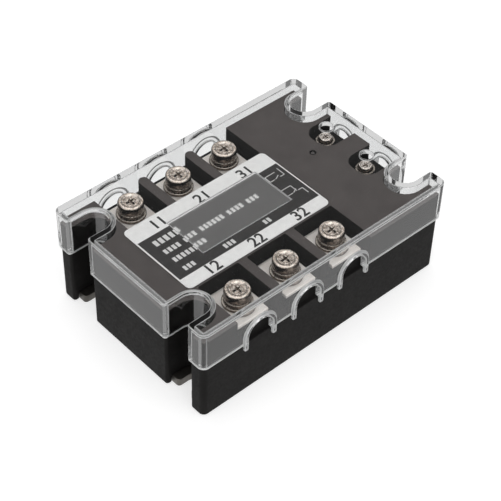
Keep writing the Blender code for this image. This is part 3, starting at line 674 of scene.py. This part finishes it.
def cover_arches():
    """The raised lips round the cable arches, and the openings within them."""
    foot = COVER_RIM - LIP_DROP
    lips, openings = [], []
    for x in TERMINAL_XS:
        lip = arch(x, ARCH_WIDTH + 2 * LIP_WIDTH, foot, ARCH_TOP + LIP_WIDTH)
        opening = arch(x, ARCH_WIDTH, foot - PAST, ARCH_TOP)
        for side in (1, -1):
            lips.append(in_long_wall(lip, side, COVER_Y - LIP_SINK, COVER_Y + LIP_PROUD))
            openings.append(in_long_wall(opening, side, COVER_Y - COVER_WALL - PAST, COVER_Y + 2 * PAST))
    for y in CONTROL_YS:
        lip = arch(y, CONTROL_ARCH_WIDTH + 2 * LIP_WIDTH, foot, CONTROL_ARCH_TOP + LIP_WIDTH)
        opening = arch(y, CONTROL_ARCH_WIDTH, foot - PAST, CONTROL_ARCH_TOP)
        lips.append(slab(lip, COVER_X - LIP_SINK, COVER_X + LIP_PROUD, SIDEWAYS))
        openings.append(slab(opening, COVER_X - COVER_WALL - PAST, COVER_X + 2 * PAST, SIDEWAYS))
    return merged(lips), merged(openings)


def access_holes():
    """The round cutters of the holes over the control screws."""
    rounds = [circle(CONTROL_ROW, y, ACCESS_HOLE) for y in CONTROL_YS]
    return merged([slab(outline, COVER_CEILING - PAST, COVER_TOP + PAST) for outline in rounds])


def build_cover():
    outside = notched(COVER_X, COVER_Y, NOTCH, COVER_CORNER, NOTCH_MOUTH)
    hollow = (COVER_X - COVER_WALL, COVER_Y - COVER_WALL)
    inside = notched(*hollow, NOTCH + NOTCH_WALL, COVER_CORNER - COVER_WALL, 0)
    lips, openings = cover_arches()
    frost = rectangle(*FROST_X, -FROST_Y, FROST_Y)
    mesh = combined(slab(outside, COVER_RIM, COVER_TOP), [
        ("DIFFERENCE", slab(inside, COVER_RIM - PAST, COVER_CEILING)),
        ("UNION", lips),
        ("DIFFERENCE", openings),
        ("DIFFERENCE", access_holes()),
        ("UNION", slab(frost, FROST_LEVEL, COVER_CEILING + FROST_ROOT)),
    ])
    kinds = ("clear_plastic", "frosted_plastic", "clear_plastic_edge", "clear_plastic_rim")
    for kind in kinds:
        mesh.materials.append(finishes[kind])
    for face in mesh.polygons:
        if face.normal.z < DOWNWARD and abs(face.center.z - FROST_LEVEL) < SAME_LEVEL:
            face.material_index = kinds.index("frosted_plastic")
        elif face.normal.z < DOWNWARD and face.center.z < COVER_RIM + SAME_LEVEL:
            face.material_index = kinds.index("clear_plastic_rim")
    weigh_edges(mesh)
    cover = place("clear_cover.moulded", mesh, None, "cover", "clear_cover")
    soften(cover, COVER_EDGE, COVER_SEGMENTS, weights=True)
    cover.modifiers["edges"].material = kinds.index("clear_plastic_edge")


def weigh_edges(mesh):
    """Marks the cover's sharp edges for rounding, least at the pad and the access holes."""
    shape = bmesh.new()
    shape.from_mesh(mesh)
    weight = shape.edges.layers.float.new("bevel_weight_edge")
    for edge in shape.edges:
        if len(edge.link_faces) != 2 or edge.calc_face_angle() < SHARP:
            continue
        middle = (edge.verts[0].co + edge.verts[1].co) / 2
        top = middle.z > COVER_TOP - SAME_LEVEL
        hole = any((middle.xy - Vector((CONTROL_ROW, y))).length < ACCESS_HOLE for y in CONTROL_YS)
        over_pad = FROST_X[0] - PAST < middle.x < FROST_X[1] + PAST and abs(middle.y) < FROST_Y + PAST
        pad = over_pad and middle.z < COVER_CEILING + SAME_LEVEL
        if pad or hole:
            edge[weight] = SMALL_SHARE
        else:
            edge[weight] = TOP_SHARE if top else OTHER_SHARE
    shape.to_mesh(mesh)
    shape.free()


def thread(radius, depth, pitch, low, high, steps=32):
    """A threaded shank, from its tip at low to high."""
    rows_in_turn, tip_slope = 4, 0.6
    shape = bmesh.new()
    rows = round((high - low) / pitch * rows_in_turn)
    rings = []
    for row in range(rows + 1):
        z = low + (high - low) * row / rows
        ring = []
        for step in range(steps):
            share = (z / pitch - step / steps) % 1
            crest = radius - depth * abs(2 * share - 1)
            reach = min(crest, radius - depth + tip_slope * (z - low))
            angle = math.tau * step / steps
            ring.append(shape.verts.new((reach * math.cos(angle), reach * math.sin(angle), z)))
        rings.append(ring)
    for lower, upper in zip(rings, rings[1:]):
        for index in range(steps):
            shape.faces.new((lower[index - 1], lower[index], upper[index], upper[index - 1]))
    shape.faces.new(reversed(rings[0]))
    shape.faces.new(rings[-1])
    return to_mesh(shape)


def head_profile(head, height, dish, edge):
    """Half a cheese head in section: its dished top, its round edge and its flat seat."""
    rim, soft, foot, lift = head / 2, dish / 2, 0.0002, 0.0001
    floor, crest, seat = 0.60 * rim, 0.76 * rim, 0.40 * rim
    profile = [(0, height - dish), (0.5 * floor, height - 0.97 * dish)]
    profile += bend((floor, height - soft), soft, 270, 320, 4)
    profile += bend((crest, height - soft), soft, 140, 90, 4)
    profile += bend((rim - edge, height - edge), edge, 90, 0, 8)
    profile += bend((rim - foot, foot), foot, 0, -90, 3)
    return profile + [(seat, 0), (0, lift)]


def screw_mesh(diameter, length, head, height, dish, edge, span, width, depth, pitch):
    """A cheese-head screw with a dished top, a tapered cross recess and a threaded shank."""
    wing, half = span / 2, width / 2
    tip, root = 0.3 * half, 0.4 * half
    cross = rounded(all_quarters([(wing, half, tip), (half, half, root), (half, wing, tip)]))
    recess = slab(cross, height - 0.6 * depth, height + 0.1 * PAST, taper=0.35)
    top = combined(turned(head_profile(head, height, dish, edge)), [("DIFFERENCE", recess)])
    overlap = 0.0001
    return merged([top, thread(diameter / 2, 0.12 * diameter, pitch, -length, overlap)])


def spring_washer_mesh(inner, outer, thickness, split, steps=60):
    """A split ring with slanting ends."""
    round_off, slope = 0.00022, 1.5
    corners = [(inner, 0), (outer, 0), (outer, thickness), (inner, thickness)]
    section = rounded([(x, y, round_off) for x, y in corners])
    gap = split / outer
    shape = bmesh.new()
    rings = []
    for step in range(steps + 1):
        ring = []
        for radius, height in section:
            slant = (height / thickness - 0.5) * slope * thickness / outer
            angle = -math.pi / 2 + gap / 2 + slant + (math.tau - gap) * step / steps
            ring.append(shape.verts.new((radius * math.cos(angle), radius * math.sin(angle), height)))
        rings.append(ring)
    for before, after in zip(rings, rings[1:]):
        for index in range(len(section)):
            shape.faces.new((before[index - 1], before[index], after[index], after[index - 1]))
    shape.faces.new(rings[0])
    shape.faces.new(rings[-1])
    bmesh.ops.recalc_face_normals(shape, faces=shape.faces)
    return to_mesh(shape)


def flat_washer_mesh(inner, outer, thickness):
    """A stamped ring, rounded more at its outer edge than in its hole."""
    burr, rim, bore = 0.0001, 0.0003, 0.0002
    profile = [(inner, 0), (outer - burr, 0), (outer, burr)]
    profile += bend((outer - rim, thickness - rim), rim, 0, 90, 4)
    profile += bend((inner + bore, thickness - bore), bore, 90, 180, 3)
    return turned(profile + [(inner, 0)])


def smooth(mesh):
    mesh.shade_smooth()
    mesh.set_sharp_from_angle(angle=SMOOTH)
    return mesh


def screw_seat(node, screw):
    """The level of the underside of a screw's head."""
    return node_box(node)[1][2] - screw["height"]


def build_power_terminals():
    screw = smooth(screw_mesh(**POWER_SCREW))
    spring = smooth(spring_washer_mesh(**SPRING_WASHER))
    flat = smooth(flat_washer_mesh(**FLAT_WASHER))
    steel, plating = finishes["washer_steel"], finishes["nickel"]
    for row, side, turn in (("line", 1, 0.0), ("load", -1, math.pi)):
        for number, x in enumerate(TERMINAL_XS, 1):
            y = side * TERMINAL_ROW
            washers, bolt = f"{row}_washers_{number}", f"{row}_bolt_{number}"
            node = f"{row}_screw_{number}"
            spot = (x, y, screw_seat(node, POWER_SCREW))
            place(node + ".turned", screw, finishes["screw_steel"], bolt, node, spot)
            node = f"{row}_spring_washer_{number}"
            spot = (x, y, node_box(node)[0][2])
            place(node + ".split", spring, steel, washers, node, spot, turn)
            node = f"{row}_flat_washer_{number}"
            spot = (x, y, node_box(node)[0][2])
            place(node + ".stamped", flat, steel, washers, node, spot)
            refined(f"{row}_terminal_{number}", plating, "base", STRIP_EDGE)


def build_control_terminals():
    screw = smooth(screw_mesh(**CONTROL_SCREW))
    bright, steel, plating = (finishes[name] for name in ("small_screw_steel", "washer_steel", "nickel"))
    for number, y in enumerate(CONTROL_YS, 1):
        bolt, jaw = f"control_bolt_{number}", f"control_jaw_{number}"
        node = f"control_screw_{number}"
        spot = (CONTROL_ROW, y, screw_seat(node, CONTROL_SCREW))
        place(node + ".turned", screw, bright, bolt, node, spot)
        refined(f"control_clamp_{number}", steel, jaw, CLAMP_EDGE)
        refined(f"control_terminal_{number}", plating, "base", CONTROL_STRIP_EDGE)


def bar(start, end, width):
    """A thin printed bar from one (x, y) end to the other."""
    start, end = Vector(start), Vector(end)
    along = (end - start).normalized()
    side = Vector((-along.y, along.x)) * width / 2
    return slab((start - side, end - side, end + side, start + side), LABEL_TOP, LABEL_TOP + 2 * INK)


def number_mesh(text, x, y):
    """A number in plain printed figures."""
    curve = bpy.data.curves.new("figures", "FONT")
    curve.body = text
    curve.size = FIGURE_SIZE
    curve.align_x = "CENTER"
    curve.align_y = "CENTER"
    curve.extrude = INK
    curve.offset = FIGURE_BOLD
    holder = bpy.data.objects.new("figures", curve)
    bpy.context.scene.collection.objects.link(holder)
    graph = bpy.context.evaluated_depsgraph_get()
    mesh = bpy.data.meshes.new_from_object(holder.evaluated_get(graph))
    bpy.data.objects.remove(holder)
    mesh.transform(Matrix.Translation((x, y, LABEL_TOP + INK)))
    return mesh


def block_bars():
    """Rows of plain blocks in place of words."""
    bars = []
    for x, y, height, words in BLOCK_ROWS:
        for word in words:
            for _ in range(word):
                bars.append(bar((x, y - height / 2), (x, y + height / 2), BLOCK_WIDTH * height))
                x += BLOCK_STEP * height
            x += WORD_GAP * height
    return bars


def sketch_bars():
    """A generic line sketch of two switches."""
    return [bar(start, end, SKETCH_LINE) for path in SKETCH for start, end in zip(path, path[1:])]


def build_label():
    refined("label", finishes["label_film"], "base", LABEL_EDGE)
    figures = []
    for row, y in enumerate(FIGURE_YS, 1):
        for column, x in enumerate(FIGURE_XS, 1):
            figures.append(number_mesh(f"{column}{row}", x, y))
    place("label.numbers", merged(figures), finishes["dark_ink"], "base", None)
    marks = merged(block_bars() + sketch_bars())
    place("label.marks", marks, finishes["pale_ink"], "base", None)


def build_plain_nodes():
    """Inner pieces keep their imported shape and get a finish."""
    kinds = (
        ("line_nut", "nut_steel"), ("load_nut", "nut_steel"), ("control_nut", "nut_steel"),
        ("ceramic_substrate", "ceramic"), ("thyristor_chip", "silicon"), ("resin_fill", "potting_resin"),
        ("control_board", "board_laminate"), ("optocoupler", "chip_case"), ("status_led", "led_lens"),
    )
    for name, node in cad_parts.items():
        for start, finish in kinds:
            if name.startswith(start):
                node.data.materials.clear()
                node.data.materials.append(finishes[finish])


class Stage(Graph):
    """The node tree of the world or of the floor."""

    def __init__(self, tree, output):
        super().__init__(tree)
        self.tree.nodes.clear()
        self.end = self.node(output).inputs["Surface"]
        self.path = self.node("LightPath").outputs

    def glow(self, kind, strength):
        """White light of some strength."""
        node = self.node(kind)
        node.inputs["Color"].default_value = (1, 1, 1, 1)
        self.link(strength, node.inputs["Strength"])
        return node.outputs[0]

    def panel(self, direction, near, far, strength):
        """A soft light in the sky, full within one angle of a direction and gone past another."""
        dot = self.node("VectorMath", operation="DOT_PRODUCT")
        self.link(self.node("TexCoord").outputs["Generated"], dot.inputs[0])
        dot.inputs[1].default_value = Vector(direction).normalized()
        start, stop = math.cos(math.radians(far)), math.cos(math.radians(near))
        return self.ranged(dot.outputs["Value"], 0, strength, start, stop, interpolation_type="SMOOTHSTEP")


def build_world():
    """A dim studio with a broad light before the object and one behind it.

    The light behind has a dark middle, which is what the cover's roof mirrors in the photo's view.
    """
    world = bpy.data.worlds.new("studio")
    bpy.context.scene.world = world
    world.use_nodes = True
    stage = Stage(world.node_tree, "OutputWorld")
    studio = STUDIO_DIM
    for panel in STUDIO_PANELS:
        studio = stage.math("ADD", stage.panel(*panel), studio)
    strength = stage.math("MAXIMUM", studio, stage.path["Is Camera Ray"])
    stage.link(stage.glow("Background", strength), stage.end)


def floor_paper():
    """White paper: white to the camera, a little greyer in mirrors and behind the clear cover."""
    material = bpy.data.materials.new("floor")
    material.use_nodes = True
    stage = Stage(material.node_tree, "OutputMaterial")
    seen = stage.path["Is Camera Ray"]
    mirrored = stage.math("MULTIPLY", stage.path["Is Glossy Ray"], FLOOR_MIRRORED)
    through = stage.math("MULTIPLY", stage.path["Is Transmission Ray"], FLOOR_THROUGH)
    behind = stage.math("MAXIMUM", mirrored, through)
    lit = stage.math("MULTIPLY", stage.math("LESS_THAN", behind, FAINT), PAPER)
    kept_back = stage.math("MULTIPLY", seen, PAPER - PAPER_SEEN)
    paper = stage.node("BsdfDiffuse")
    stage.link(stage.math("SUBTRACT", lit, kept_back), paper.inputs["Color"])
    strength = stage.math("MAXIMUM", stage.math("MULTIPLY", seen, PAPER_GLOW), behind)
    both = stage.node("AddShader")
    stage.link(paper.outputs[0], both.inputs[0])
    stage.link(stage.glow("Emission", strength), both.inputs[1])
    stage.link(both.outputs[0], stage.end)
    return material


def build_floor():
    square = rectangle(-FLOOR_REACH, FLOOR_REACH, -FLOOR_REACH, FLOOR_REACH)
    sheet = slab(square, FLOOR_UNDERSIDE, FLOOR_TOP)
    sheet.materials.append(floor_paper())
    floor = bpy.data.objects.new("floor", sheet)
    bpy.context.scene.collection.objects.link(floor)


def build_camera():
    lens = bpy.data.cameras.new("camera")
    lens.sensor_width = SENSOR
    lens.sensor_fit = "HORIZONTAL"
    lens.lens = LENS
    lens.clip_start = NEAREST
    camera = bpy.data.objects.new("camera", lens)
    axes = Matrix((CAMERA_RIGHT, CAMERA_UP, CAMERA_BACK)).transposed().to_4x4()
    camera.matrix_world = Matrix.Translation(CAMERA_PLACE) @ axes
    bpy.context.scene.collection.objects.link(camera)
    bpy.context.scene.camera = camera


finishes = make_finishes()
build_cover()
refined("housing", finishes["black_plastic"], "base", HOUSING_EDGE)
refined("base_plate", finishes["base_metal"], "base", BASE_EDGE)
refined("light_pipe", finishes["light_pipe_plastic"], "base", LIGHT_PIPE_EDGE)
build_power_terminals()
build_control_terminals()
build_label()
build_plain_nodes()
build_world()
build_floor()
build_camera()
bpy.context.scene.view_settings.view_transform = "Standard"
